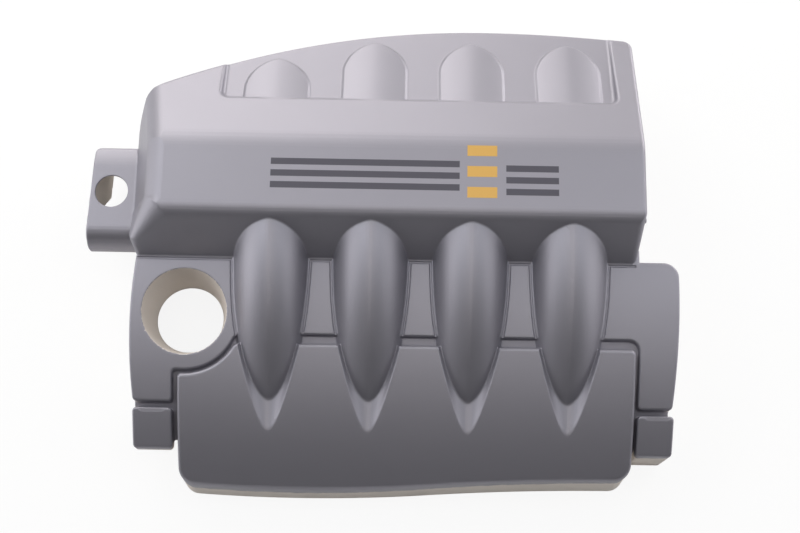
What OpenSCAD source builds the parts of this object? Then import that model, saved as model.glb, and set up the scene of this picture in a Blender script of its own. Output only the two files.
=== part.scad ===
// Engine cover for a four-cylinder engine: one thin moulded shell with four runner forms,
// an oil filler opening and a side lug, held on four rubber grommets.
// X runs along the row of cylinders, Y to the rear of the engine bay, Z up.
// All forms are drawn from the middle of the runner row and the front foot, then moved
// so that the origin is at the middle of the cover's box, on the plane it stands on.

/* [Shell] */
// Wall of the moulding
wall = 2.5; // [2:0.1:3]
// Height of the flat top over the standing plane
deck_z = 130; // [126:1:136]

/* [Upper housing] */
// Left face of the housing at its foot, from the middle of the runner row
house_left = 250; // [246:1:253]
// Left edge of the flat top
deck_left = 229; // [224:1:234]
// Height at which the left face starts to lean in
lean_z = 78; // [70:1:82]
// Right face of the housing
house_right = 187.5; // [184:0.5:192]
// Foot of the front slope, where it meets the flats
slope_y = 197.5; // [194:0.5:200]
// Height of the foot of the front slope
slope_z = 90; // [86:1:93]
// Steepness of the front slope in degrees
slope_deg = 53; // [48:1:60]
// Radius of the ridge over the front slope
ridge_r = 10; // [4:1:14]
// Radius of the left edge of the flat top
side_r = 9; // [3:1:12]
// Radius of the right edge of the flat top
right_r = 4; // [2:0.5:8]
// Where the flat top and the rear slope meet, from the front foot
rear_slope_y = 291; // [284:1:298]
// Steepness of the rear slope in degrees
rear_deg = 23; // [20:0.5:25]
// Blend between the flat top and the rear slope
rear_blend_r = 45; // [20:5:60]
// Rearmost line of the housing
back_y = 414.5; // [408:0.5:420]
// Radius of the left part of the rear outline in plan
back_left_arc = 640; // [600:10:700]
// Radius of the right part of the rear outline in plan
back_right_arc = 1070; // [900:10:1300]
// Where the rear outline is furthest back
back_mid_x = 55; // [40:5:70]
// Radius of the rear left corner in plan
back_left_r = 45; // [34:1:54]
// Radius of the rear right corner in plan
back_right_r = 9; // [4:1:14]
// Radius of the small nub on the right face
nub_r = 3.2; // [2:0.1:4]
// How far the nub stands out
nub_out = 2; // [1:0.1:3]
// Place of the nub from the front foot
nub_y = 230; // [228:0.5:236]
// Height of the nub
nub_z = 112; // [106:1:118]

/* [Rear recess] */
// Length of the recess, from its front edge to the rearmost line
recess_len = 81; // [74:0.5:86]
// Left end of the recess
recess_left = 176; // [172:1:180]
// Right end of the recess
recess_right = 169.5; // [166:0.5:174]
// Depth of the recess at its front edge
recess_deep = 6.5; // [4:0.5:8]
// Depth of the recess at the rear outline
recess_end_deep = 2; // [1:0.5:3]
// Corner radius of the recess
recess_r = 8; // [4:1:12]
// Half width of a hump in the recess
hump_half = 29; // [26:0.5:32]
// Radius of one flank of a hump
hump_r = 150; // [120:5:200]
// Offset of the flank radius past the middle, which makes the crease
hump_crease = 10; // [4:1:16]
// Slope of the crest of a hump in degrees
hump_deg = 21.2; // [20:0.2:22]
// Distance of the three long humps' tips from the rearmost line
hump_gap = 16; // [12:0.5:22]
// Distance of the short left hump's tip from the rearmost line
hump_short_gap = 36; // [30:1:44]
// Radius of the pointed end of a hump in plan
hump_nose_r = 58; // [48:1:70]
// Length of the pointed end of a hump
hump_nose = 21; // [16:1:26]

/* [Runners] */
// Distance between two runners, the cylinder pitch
runner_pitch = 85; // [80:1:88]
// Radius of one flank of a runner
runner_r = 38.5; // [36:0.1:40]
// Offset of the flank radius past the middle, which makes the crease
runner_crease = 6.1; // [4:0.1:8]
// Where the crest leaves the front slope
crest_y = 222.5; // [221:0.5:224]
// Height of the crest there
crest_top_z = 124; // [122:0.5:125]
// Slope of the crest there in degrees
crest_deg = 2.9; // [2:0.1:4]
// Radius of the crest line, seen from the side
crest_r = 225; // [220:1:230]

/* [Apron] */
// Radius of the apron, seen from the side
apron_r = 390; // [370:5:420]
// Place of the crown of the apron's arc
apron_crown_y = 218; // [212:1:224]
// Height of the crown of the apron's arc
apron_crown_z = 90.5; // [88:0.5:93]
// Radius of the floor of the ditch round the front panel
ditch_r = 322; // [310:2:340]
// Height of the crown of the ditch floor
ditch_crown_z = 88; // [86:0.5:89]
// Rear edge of the ditch
ditch_y = 132.5; // [129:0.5:135]
// Radius of the inner corners of the ditch
ditch_corner = 9; // [4:1:12]
// Depth of the fine groove round the flats
groove_deep = 1.2; // [0.6:0.1:1.6]
// Width of the fine groove round the flats
groove_w = 1.3; // [0.8:0.1:2]
// Ledge between a foot line and the fine groove
groove_ledge = 2.2; // [1.4:0.1:3]

/* [Wings and tabs] */
// Left edge of the left wing, where it is widest
wing_left = 246.6; // [243:0.2:248]
// Where the left wing is widest
wing_left_y = 135; // [120:5:150]
// Radius of the left edge in plan
wing_left_r = 520; // [450:10:700]
// Inner edge of the left wing beside the panel
wing_left_in = 209.8; // [208:0.2:212]
// Right edge of the right wing, where it is widest
wing_right = 221.4; // [216:0.2:226]
// Where the right wing is widest
wing_right_y = 165; // [150:5:180]
// Radius of the right edge in plan
wing_right_r = 900; // [700:50:1200]
// Inner edge of the right wing beside the panel
wing_right_in = 187.4; // [186.6:0.1:189]
// Front edge of both wings
wing_y = 76; // [73:0.5:79]
// Gap between a wing and its tab
tab_gap = 5; // [3:0.5:7]
// Front edge of both tabs
tab_y = 37.5; // [34:0.5:42]
// Left edge of the left tab
tab_left = 243.5; // [240:0.5:245]
// Right edge of the right tab
tab_right = 218.6; // [215:0.2:221]
// Height of the tabs over the apron
tab_rise = 1.5; // [0.5:0.1:2.5]
// Corner radius of the tabs in plan
tab_corner = 3.5; // [2:0.5:5]
// Radius of the rear corner of the right wing in plan
wing_corner = 12.5; // [6:0.5:14]
// How far the neck between a wing and its tab is set in
neck_in = 3; // [1.5:0.5:5]

/* [Front panel] */
// Height of the panel over the apron
panel_rise = 4; // [2.5:0.5:6]
// Left edge of the panel
panel_left = 204.8; // [202:0.2:206]
// Right edge of the panel
panel_right = 184.2; // [180:0.2:185]
// Rear edge of the panel
panel_y = 124.8; // [122:0.2:127]
// Radius of the belly, the convex left part of the front edge in plan
belly_r = 1500; // [1200:50:1800]
// Where the belly is furthest forward
belly_x = -105; // [-120:5:-80]
// Where the hollow right part of the front edge lies furthest back
waist_x = 185; // [180:5:220]
// How far the front edge lies back there
waist_in = 11; // [6:0.5:13]
// Radius of the rear corners of the panel
panel_rear_corner = 5; // [2:0.5:7]
// Radius of the front corners of the panel
panel_corner = 14; // [8:1:18]
// Front end of the notch in front of each runner
notch_y = 54; // [50:0.5:58]
// Slope of the notch floor in degrees
notch_deg = 8; // [6:0.5:10]
// Radius of the notch at its front end
notch_r = 8.8; // [7:0.2:11]
// Half angle of the notch's cone in degrees
notch_cone_deg = 16.5; // [15:0.5:18]

/* [Oil filler opening] */
// Middle of the opening, left of the middle of the runner row
filler_x = -200.1; // [-202:0.1:-197]
// Middle of the opening from the front foot
filler_y = 149.5; // [147:0.5:151]
// Radius of the rim
filler_rim_r = 36.3; // [34:0.1:38]
// Radius of the bore at the bottom of the collar
filler_bore_r = 29.2; // [27:0.1:31]
// Height of the lower end of the collar
filler_low_z = 45; // [42:1:56]
// Length of the straight bore at the bottom of the collar
filler_bore_h = 6; // [4:0.5:10]
// Width of the land round the opening, up to the ditch
filler_land = 11; // [9:0.1:14]

/* [Side lug] */
// Left end of the lug
lug_left = 288; // [280:1:294]
// Front foot of the lug
lug_front = 208; // [205:1:211]
// Rear foot of the lug
lug_back = 296.5; // [293:0.5:299]
// Height of the lug
lug_z = 80; // [76:1:84]
// Depth of the lug's rear skirt
lug_skirt = 66; // [50:1:70]
// Depth of the lug's front skirt
lug_front_skirt = 24; // [20:1:30]
// Radius of the hole in the lug
lug_hole_r = 14.2; // [12:0.1:15]
// Place of the hole from the left end of the lug
lug_hole_in = 17.6; // [17:0.1:19]
// Place of the hole from the front foot
lug_hole_y = 257; // [250:1:262]

/* [Grommets] */
// Radius of the socket that holds a grommet
socket_r = 10; // [8:0.5:12]
// Depth of the socket
socket_deep = 14; // [10:1:18]
// Wall of the socket
socket_wall = 3; // [2.5:0.5:4]
// Clearance of the grommet in its socket
grommet_fit = 0.1; // [0.05:0.05:0.3]
// Thickness of the grommet's flange
flange_h = 3; // [2:0.5:4]
// Radius of the grommet's flange
flange_r = 12.4; // [12:0.1:13]
// Radius of the bore for the ball stud
stud_r = 5; // [4:0.5:6]
// Height of the lower face of the two rear sockets
rear_socket_z = 62; // [50:1:80]
// Height of the lower face of the two front sockets
front_socket_z = 14; // [10:1:18]
// Thickness of the stiffening ribs
rib_t = 2; // [1.6:0.2:3]

/* [Hidden] */
$fn = 64;

below = 20;
above = 30;
overlap = 8;
runner_x = [for (i = [-1.5, -0.5, 0.5, 1.5]) i * runner_pitch];
front_y = 0;
mid_x = (wing_right - lug_left) / 2;
mid_y = (front_y + back_y) / 2;
recess_y = back_y - recess_len;
panel_gap = wing_right_in - panel_right;
rear_grommets = [[-165, 262], [135, 262]];
front_grommets = [[-172, 48], [158, 48]];

paint = [0.56, 0.56, 0.58];
rubber = [0.13, 0.13, 0.14];

// Points along an arc, from angle a0 to a1
function arc(c, r, a0, a1, n) =
    [for (i = [0:n]) let (a = a0 + (a1 - a0) * i / n) [c.x + r * cos(a), c.y + r * sin(a)]];

// Height of an arc that has its crown at [crown_y, crown_z]
function arc_z(crown_y, crown_z, r, y) = crown_z - r + sqrt(r * r - pow(y - crown_y, 2));
function apron_z(y) = arc_z(apron_crown_y, apron_crown_z, apron_r, y);
function rear_z(y) = deck_z - (y - rear_slope_y) * tan(rear_deg);

// The crest line of a runner is an arc round crest_c, drawn as [y, z]
crest_c = [crest_y + crest_r * sin(crest_deg), crest_top_z - crest_r * cos(crest_deg)];
function crest_z(y) = arc_z(crest_c.x, crest_c.y + crest_r, crest_r, y);

// Half width of a runner where its crest stands h over its foot
runner_h = sqrt(pow(runner_r, 2) - pow(runner_crease, 2));
function runner_half(h) = sqrt(pow(runner_r, 2) - pow(max(runner_h - h, 0), 2)) - runner_crease;
function foot_half(y) =
    runner_half((crest_z(y) - apron_z(y)) * cos(asin((crest_c.x - y) / crest_r)));

// Extrudes a profile drawn as [y, z] along the whole cover
module along_x(x0, x1) {
    translate([x0, 0, 0]) rotate([90, 0, 90]) linear_extrude(x1 - x0) children();
}

// Extrudes a profile drawn as [x, z] from y0 to y1
module along_y(y0, y1) {
    translate([0, y1, 0]) rotate([90, 0, 0]) linear_extrude(y1 - y0) children();
}

// Extrudes a plan upwards from under the standing plane
module upright(top) {
    translate([0, 0, -below]) linear_extrude(top + below) children();
}

// Solid under an arc that runs along X
module under_arc(crown_y, crown_z, r, ins = 0) {
    translate([-lug_left - 10, crown_y, crown_z - r]) rotate([0, 90, 0])
        cylinder(h = lug_left + wing_right + 20, r = r - ins, $fn = 180);
}

module rect(x0, x1, y0, y1) {
    translate([x0, y0]) square([x1 - x0, y1 - y0]);
}

module round_rect(x0, x1, y0, y1, r) {
    polygon(concat(
        arc([x1 - r, y1 - r], r, 0, 90, 6),
        arc([x0 + r, y1 - r], r, 90, 180, 6),
        arc([x0 + r, y0 + r], r, 180, 270, 6),
        arc([x1 - r, y0 + r], r, 270, 360, 6)));
}

// Outline of the housing seen from above
module house_plan() {
    left_r = back_left_arc - back_left_r;
    right_r = back_right_arc - back_right_r;
    left_in = back_mid_x + house_left - back_left_r;
    right_in = house_right - back_right_r - back_mid_x;
    left_mid = [back_mid_x, back_y - back_left_arc];
    right_mid = [back_mid_x, back_y - back_right_arc];
    left_deg = 90 + asin(left_in / left_r);
    right_deg = 90 - asin(right_in / right_r);
    polygon(concat(
        [[-house_left, slope_y - 40], [house_right, slope_y - 40]],
        arc([back_mid_x + right_in, right_mid.y + sqrt(right_r * right_r - right_in * right_in)],
            back_right_r, 0, right_deg, 6),
        arc(right_mid, back_right_arc, right_deg, 90, 8),
        arc(left_mid, back_left_arc, 90, left_deg, 20),
        arc([back_mid_x - left_in, left_mid.y + sqrt(left_r * left_r - left_in * left_in)],
            back_left_r, left_deg, 180, 10)));
}

// Side view of the housing
module house_side() {
    ridge_y = slope_y + (deck_z - slope_z) / tan(slope_deg) + ridge_r * tan(slope_deg / 2);
    blend_y = rear_slope_y - rear_blend_r * tan(rear_deg / 2);
    polygon(concat(
        [[back_y + 10, -below], [slope_y - (slope_z + below) / tan(slope_deg), -below]],
        arc([ridge_y, deck_z - ridge_r], ridge_r, 90 + slope_deg, 90, 6),
        arc([blend_y, deck_z - rear_blend_r], rear_blend_r, 90, 90 - rear_deg, 6),
        [[back_y + 10, rear_z(back_y + 10)]]));
}

// Front view of the housing
module house_front() {
    lean = atan((house_left - deck_left) / (deck_z - lean_z));
    side_c = [-deck_left + side_r * tan((90 - lean) / 2), deck_z - side_r];
    polygon(concat(
        [[house_right, -below]],
        arc([house_right - right_r, deck_z - right_r], right_r, 0, 90, 6),
        arc(side_c, side_r, 90, 180 - lean, 6),
        [[-house_left, lean_z], [-house_left, -below]]));
}

// Nub on the right face of the housing
module nub() {
    translate([house_right - wall / 2, nub_y, nub_z]) rotate([0, 90, 0])
        cylinder(h = wall / 2 + nub_out, r1 = nub_r, r2 = nub_r - nub_out / 2, $fn = 48);
}

// Side view of the hollow over the recess floor
module recess_side() {
    floor_z = rear_z(recess_y) - recess_deep;
    end_z = rear_z(back_y) - recess_end_deep;
    end_y = back_y + 40;
    polygon([[recess_y - 20, floor_z + 20 * (floor_z - end_z) / (back_y - recess_y)],
             [end_y, end_z - (end_y - back_y) * (floor_z - end_z) / (back_y - recess_y)],
             [end_y, deck_z + above], [recess_y - 20, deck_z + above]]);
}

// Hollow of the recess, grown by ins on every side
module recess(ins) {
    intersection() {
        translate([0, 0, lean_z - 50]) linear_extrude(deck_z)
            offset(delta = ins)
                round_rect(-recess_left, recess_right, recess_y, back_y + 40, recess_r);
        along_x(-lug_left, wing_right) offset(delta = ins) recess_side();
    }
}

// Plan of one hump, drawn round x = 0
module hump_plan(tip_y) {
    chord = norm([hump_half, hump_nose]) / 2;
    reach = sqrt(pow(hump_nose_r, 2) - pow(chord, 2)) / (2 * chord);
    c = [hump_half / 2 - reach * hump_nose, tip_y - hump_nose / 2 - reach * hump_half];
    intersection() {
        rect(-hump_half, hump_half, recess_y - overlap, tip_y);
        translate(c) circle(r = hump_nose_r, $fn = 120);
        translate([-c.x, c.y]) circle(r = hump_nose_r, $fn = 120);
    }
}

// One flank of a hump: a long round bar that falls to the rear
module hump_flank(ins, side) {
    ahead = 60;
    translate([side * hump_crease, recess_y, rear_z(recess_y)]) rotate([-hump_deg, 0, 0])
        translate([0, -ahead, -sqrt(pow(hump_r, 2) - pow(hump_crease, 2))]) rotate([-90, 0, 0])
            cylinder(h = ahead + recess_len * 1.5, r = hump_r - ins, $fn = 240);
}

// One hump: two flanks that meet in a crease
module hump(ins, tip_y) {
    intersection() {
        translate([0, 0, lean_z - 40]) linear_extrude(deck_z - lean_z + 40)
            offset(delta = -ins) hump_plan(tip_y);
        hump_flank(ins, -1);
        hump_flank(ins, 1);
    }
}

module humps(ins) {
    for (i = [0:3]) translate([runner_x[i], 0, 0])
        hump(ins, back_y - (i == 0 ? hump_short_gap : hump_gap));
}

// Upper housing with its rear recess
module housing(ins) {
    difference() {
        intersection() {
            upright(deck_z + above) offset(delta = -ins) house_plan();
            along_x(-lug_left, wing_right) offset(delta = -ins) house_side();
            along_y(slope_y - 60, back_y + 20) offset(delta = -ins) house_front();
        }
        recess(ins);
    }
}

// Section of a runner: two flanks that meet in the crest at [0, 0], drawn as [height, x]
module runner_section(ins) {
    intersection() {
        translate([-runner_h, -runner_crease]) circle(r = runner_r - ins, $fn = 96);
        translate([-runner_h, runner_crease]) circle(r = runner_r - ins, $fn = 96);
        rect(-runner_h, runner_h, -runner_r, runner_r);
    }
    rect(-runner_h - 6, -runner_h, -(runner_r - runner_crease - ins), runner_r - runner_crease - ins);
}

// One runner: its section swept along the falling crest line
module runner(ins) {
    sweep_deg = 60;
    translate([0, crest_c.x, crest_c.y]) rotate([0, -90, 0]) rotate([0, 0, -sweep_deg])
        rotate_extrude(angle = sweep_deg, $fn = 360) translate([crest_r, 0]) runner_section(ins);
}

// Everything between the curved outer edges of the wings
module wing_span() {
    intersection() {
        translate([wing_left_r - wing_left, wing_left_y]) circle(r = wing_left_r, $fn = 720);
        translate([wing_right - wing_right_r, wing_right_y]) circle(r = wing_right_r, $fn = 720);
        rect(-lug_left, lug_left, 0, back_y);
    }
}

// Flats and wings seen from above, whose front edge is the ditch
module flats_plan() {
    intersection() {
        union() {
            rect(-wing_left, house_right, ditch_y, slope_y + overlap);
            round_rect(house_right - 3 * wing_corner, wing_right, ditch_y, slope_y - 1, wing_corner);
            rect(house_right - 2 * wing_corner, wing_right, ditch_y, ditch_y + 2 * wing_corner);
            round_rect(-wing_left, -wing_left_in, wing_y, ditch_y + 20, tab_corner);
            round_rect(wing_right_in, wing_right, wing_y, ditch_y + 20, tab_corner);
            difference() {
                rect(wing_right_in - ditch_corner, wing_right_in + 1, ditch_y - ditch_corner, ditch_y + 1);
                translate([wing_right_in - ditch_corner, ditch_y - ditch_corner])
                    circle(r = ditch_corner);
            }
            translate([filler_x, filler_y]) circle(r = filler_rim_r + filler_land, $fn = 96);
        }
        wing_span();
    }
}

// Flats between the foot lines, without their groove and ledge
module inside_groove(gap) {
    difference() {
        rect(-lug_left, lug_left, ditch_y - overlap, slope_y - gap);
        for (x = runner_x) translate([x, 0]) polygon(concat(
            [for (y = [ditch_y - 20:10:slope_y]) [foot_half(y) + gap, y]],
            [[runner_r, slope_y + overlap], [-runner_r, slope_y + overlap]],
            [for (y = [slope_y:-10:ditch_y - 20]) [-foot_half(y) - gap, y]]));
    }
}

module groove() {
    difference() {
        translate([0, 0, lean_z - 20]) linear_extrude(deck_z - lean_z)
            difference() {
                inside_groove(groove_ledge);
                inside_groove(groove_ledge + groove_w);
                rect(-lug_left, lug_left, 0, ditch_y);
            }
        under_arc(apron_crown_y, apron_crown_z, apron_r, groove_deep);
    }
}

// Front panel seen from above
module panel_plan() {
    waist_r = (pow(waist_x - belly_x, 2) + pow(waist_in, 2)) / (2 * waist_in) - belly_r;
    belly = [belly_x, front_y + belly_r];
    waist = [waist_x, front_y + waist_in - waist_r];
    turn_deg = atan2(belly.y - waist.y, belly.x - waist.x);
    left_x = panel_corner - panel_left;
    right_x = panel_right - panel_corner;
    left_deg = 270 - asin((belly_x - left_x) / (belly_r - panel_corner));
    right_deg = 90 + asin((waist_x - right_x) / (waist_r + panel_corner));
    left_y = belly.y - sqrt(pow(belly_r - panel_corner, 2) - pow(belly_x - left_x, 2));
    right_y = waist.y + sqrt(pow(waist_r + panel_corner, 2) - pow(waist_x - right_x, 2));
    rear = [panel_right - panel_rear_corner, panel_y - panel_rear_corner];
    difference() {
        polygon(concat(
            arc(rear, panel_rear_corner, 0, 90, 6),
            [[-panel_left, panel_y]],
            arc([left_x, left_y], panel_corner, 180, left_deg, 6),
            arc(belly, belly_r, left_deg, 180 + turn_deg, 8),
            arc(waist, waist_r, turn_deg, right_deg, 8),
            arc([right_x, right_y], panel_corner, right_deg + 180, 360, 6)));
        translate([filler_x, filler_y])
            circle(r = filler_rim_r + filler_land + panel_gap, $fn = 96);
    }
}

// Cone that cuts the notch in front of a runner
module notch(ins) {
    tip_z = apron_z(notch_y) + panel_rise / cos(asin((apron_crown_y - notch_y) / apron_r));
    long = 92;
    short = 12;
    translate([0, notch_y, tip_z]) rotate([notch_deg + notch_cone_deg, 0, 0])
        translate([0, 0, notch_r]) rotate([-90, 0, 0])
            translate([0, 0, -short])
                cylinder(h = long + short, r1 = notch_r - short * tan(notch_cone_deg) + ins,
                         r2 = notch_r + long * tan(notch_cone_deg) + ins, $fn = 96);
}

// Apron: ditch floor, front panel with its notches, flats, wings and tabs
module apron(ins) {
    difference() {
        union() {
            intersection() {
                under_arc(apron_crown_y, ditch_crown_z, ditch_r, ins);
                upright(deck_z) offset(delta = -ins) union() {
                    rect(neck_in - tab_left, tab_right - neck_in, tab_y + 4, slope_y - 4);
                    rect(-panel_left + 2, panel_right - 2, front_y + 24, slope_y + overlap);
                }
            }
            intersection() {
                under_arc(apron_crown_y, apron_crown_z, apron_r, ins - panel_rise);
                upright(deck_z) offset(delta = -ins) panel_plan();
            }
        }
        for (x = runner_x) translate([x, 0, 0]) notch(ins);
    }
    intersection() {
        under_arc(apron_crown_y, apron_crown_z, apron_r, ins);
        upright(deck_z) offset(delta = -ins) flats_plan();
    }
    intersection() {
        under_arc(apron_crown_y, apron_crown_z, apron_r, ins - tab_rise);
        upright(deck_z) offset(delta = -ins) union() {
            round_rect(-tab_left, -wing_left_in, tab_y, wing_y - tab_gap, tab_corner);
            round_rect(wing_right_in, tab_right, tab_y, wing_y - tab_gap, tab_corner);
        }
    }
}

// Side view of the lug
module lug_side() {
    polygon([[lug_front, -below], [lug_front, lug_z - 13], [lug_front + 7, lug_z],
             [lug_back - 9, lug_z], [lug_back - 2, lug_z - 3], [lug_back, lug_z - 8],
             [lug_back, -below]]);
}

module lug(ins) {
    reach = ins > 0 ? -house_left : -deck_left;
    along_x(-lug_left + ins, reach) offset(delta = -ins) lug_side();
}

// Everything under the lug's skirt, open to the front and below
module lug_opening() {
    low = lug_z - lug_skirt;
    along_x(-lug_left - 5, -house_left)
        polygon([[lug_front - 5, -below - 5], [lug_front - 5, lug_z - lug_front_skirt],
                 [lug_front + 34, lug_z - lug_front_skirt], [lug_front + 62, low],
                 [lug_back + 5, low], [lug_back + 5, -below - 5]]);
}

// The whole cover as a block, set in by ins on every side
module block(ins) {
    housing(ins);
    humps(ins);
    apron(ins);
    for (x = runner_x) translate([x, 0, 0]) runner(ins);
    lug(ins);
    if (ins == 0) nub();
}

// Collar of the oil filler opening, and the taper that runs through it
module filler_cone(ins, low, high) {
    slope = (filler_rim_r - filler_bore_r) / (apron_z(filler_y) - filler_low_z - filler_bore_h);
    h0 = filler_low_z + filler_bore_h;
    translate([filler_x, filler_y, h0])
        cylinder(h = high - h0, r1 = filler_bore_r + ins, r2 = filler_bore_r + slope * (high - h0) + ins,
                 $fn = 96);
    translate([filler_x, filler_y, low]) cylinder(h = h0 - low, r = filler_bore_r + ins, $fn = 96);
}

// Sockets and ribs on the inside of the shell
module inner_parts() {
    filler_cone(wall, filler_low_z, deck_z);
    for (p = rear_grommets) translate([p.x, p.y, rear_socket_z])
        cylinder(h = deck_z, r = socket_r + socket_wall);
    for (p = front_grommets) translate([p.x, p.y, front_socket_z])
        cylinder(h = deck_z, r = socket_r + socket_wall);
    translate([-house_left, rear_grommets[0].y - rib_t / 2, deck_z - wall - 16])
        cube([house_left + house_right, rib_t, 40]);
    for (p = rear_grommets) translate([p.x - rib_t / 2, slope_y + 10, rear_socket_z + 26])
        cube([rib_t, back_y - slope_y - 60, 60]);
    for (p = front_grommets) along_x(p.x - rib_t / 2, p.x + rib_t / 2)
        polygon([[front_y, 12], [ditch_y, 58], [ditch_y, deck_z], [front_y, deck_z]]);
    translate([front_grommets[0].x, front_grommets[0].y - rib_t / 2, 30])
        cube([front_grommets[1].x - front_grommets[0].x, rib_t, 60]);
}

module socket_bores() {
    for (p = rear_grommets) translate([p.x, p.y, rear_socket_z - 1])
        cylinder(h = socket_deep + 1, r = socket_r);
    for (p = front_grommets) translate([p.x, p.y, front_socket_z - 1])
        cylinder(h = socket_deep + 1, r = socket_r);
}

module cover_shell() color(paint)
    translate([-mid_x, -mid_y, 0])
        difference() {
            block(0);
            difference() {
                block(wall);
                inner_parts();
            }
            translate([-lug_left - 20, -20, -below - 40])
                cube([lug_left + wing_right + 40, back_y + 60, below + 40]);
            groove();
            filler_cone(0, 0, deck_z);
            translate([-lug_left + lug_hole_in, lug_hole_y, 0]) cylinder(h = deck_z, r = lug_hole_r);
            lug_opening();
            socket_bores();
        }

// Rubber grommet: a plug in the socket with a flange under it and a bore for the stud
module grommet(p, z) color(rubber)
    translate([p.x - mid_x, p.y - mid_y, z])
        rotate_extrude($fn = 64)
            difference() {
                union() {
                    rect(0, socket_r - grommet_fit, 0, socket_deep);
                    rect(0, flange_r, -flange_h, 0);
                }
                rect(-1, stud_r, -flange_h - 1, socket_deep - 3);
            }

module grommet_rear_left() grommet(rear_grommets[0], rear_socket_z);
module grommet_rear_right() grommet(rear_grommets[1], rear_socket_z);
module grommet_front_left() grommet(front_grommets[0], front_socket_z);
module grommet_front_right() grommet(front_grommets[1], front_socket_z);

cover_shell();
grommet_rear_left();
grommet_rear_right();
grommet_front_left();
grommet_front_right();
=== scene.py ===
"""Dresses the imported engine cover: a moulded shell with soft edges, rubber grommets, print and studio."""

import math
from concurrent.futures import ThreadPoolExecutor
from math import cos, sin, tan

import bpy
import numpy as np
import openvdb
from mathutils import Matrix, Vector


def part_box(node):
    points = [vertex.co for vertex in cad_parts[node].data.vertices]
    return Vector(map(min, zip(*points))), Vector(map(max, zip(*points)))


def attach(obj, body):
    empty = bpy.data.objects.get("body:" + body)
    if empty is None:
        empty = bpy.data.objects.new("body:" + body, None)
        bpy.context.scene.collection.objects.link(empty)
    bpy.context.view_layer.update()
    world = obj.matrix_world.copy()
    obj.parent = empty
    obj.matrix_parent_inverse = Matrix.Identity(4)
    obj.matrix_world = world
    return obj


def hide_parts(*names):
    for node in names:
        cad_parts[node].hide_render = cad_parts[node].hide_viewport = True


bl_info = {
    "name": "Engine Cover",
    "version": (1, 0, 0),
    "blender": (4, 5, 0),
    "location": "View3D > Sidebar > Engine Cover",
    "description": "Builds a moulded engine cover with its grommets, print and studio",
    "category": "Add Mesh",
}

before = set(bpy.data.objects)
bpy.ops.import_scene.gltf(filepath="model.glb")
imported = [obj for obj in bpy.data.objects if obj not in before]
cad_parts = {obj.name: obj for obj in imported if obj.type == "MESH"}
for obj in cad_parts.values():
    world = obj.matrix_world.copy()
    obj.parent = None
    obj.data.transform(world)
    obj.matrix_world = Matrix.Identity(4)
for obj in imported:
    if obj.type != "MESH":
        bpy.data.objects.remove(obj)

MM = 0.001
QUARTER = math.pi / 2
SHELL_TRIANGLES = 190000
CAD_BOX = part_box("cover_shell")

# Corners of the block that the shell is sampled in, in millimetres
GRID_LOW = (-294.0, -3.0, -2.0)
GRID_HIGH = (225.0, 417.5, 133.0)


def mm(name, default, description):
    """A length in millimetres."""
    return bpy.props.FloatProperty(name=name, default=default, description=description)


def deg(name, default, description):
    """An angle, given in degrees."""
    default = math.radians(default)
    return bpy.props.FloatProperty(name=name, default=default, subtype="ANGLE", description=description)


def share(name, default, description):
    """A number from 0 to 1."""
    return bpy.props.FloatProperty(name=name, default=default, subtype="FACTOR", description=description)


def color(name, default, description):
    """A colour."""
    return bpy.props.FloatVectorProperty(name=name, default=default, subtype="COLOR", description=description)


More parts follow.
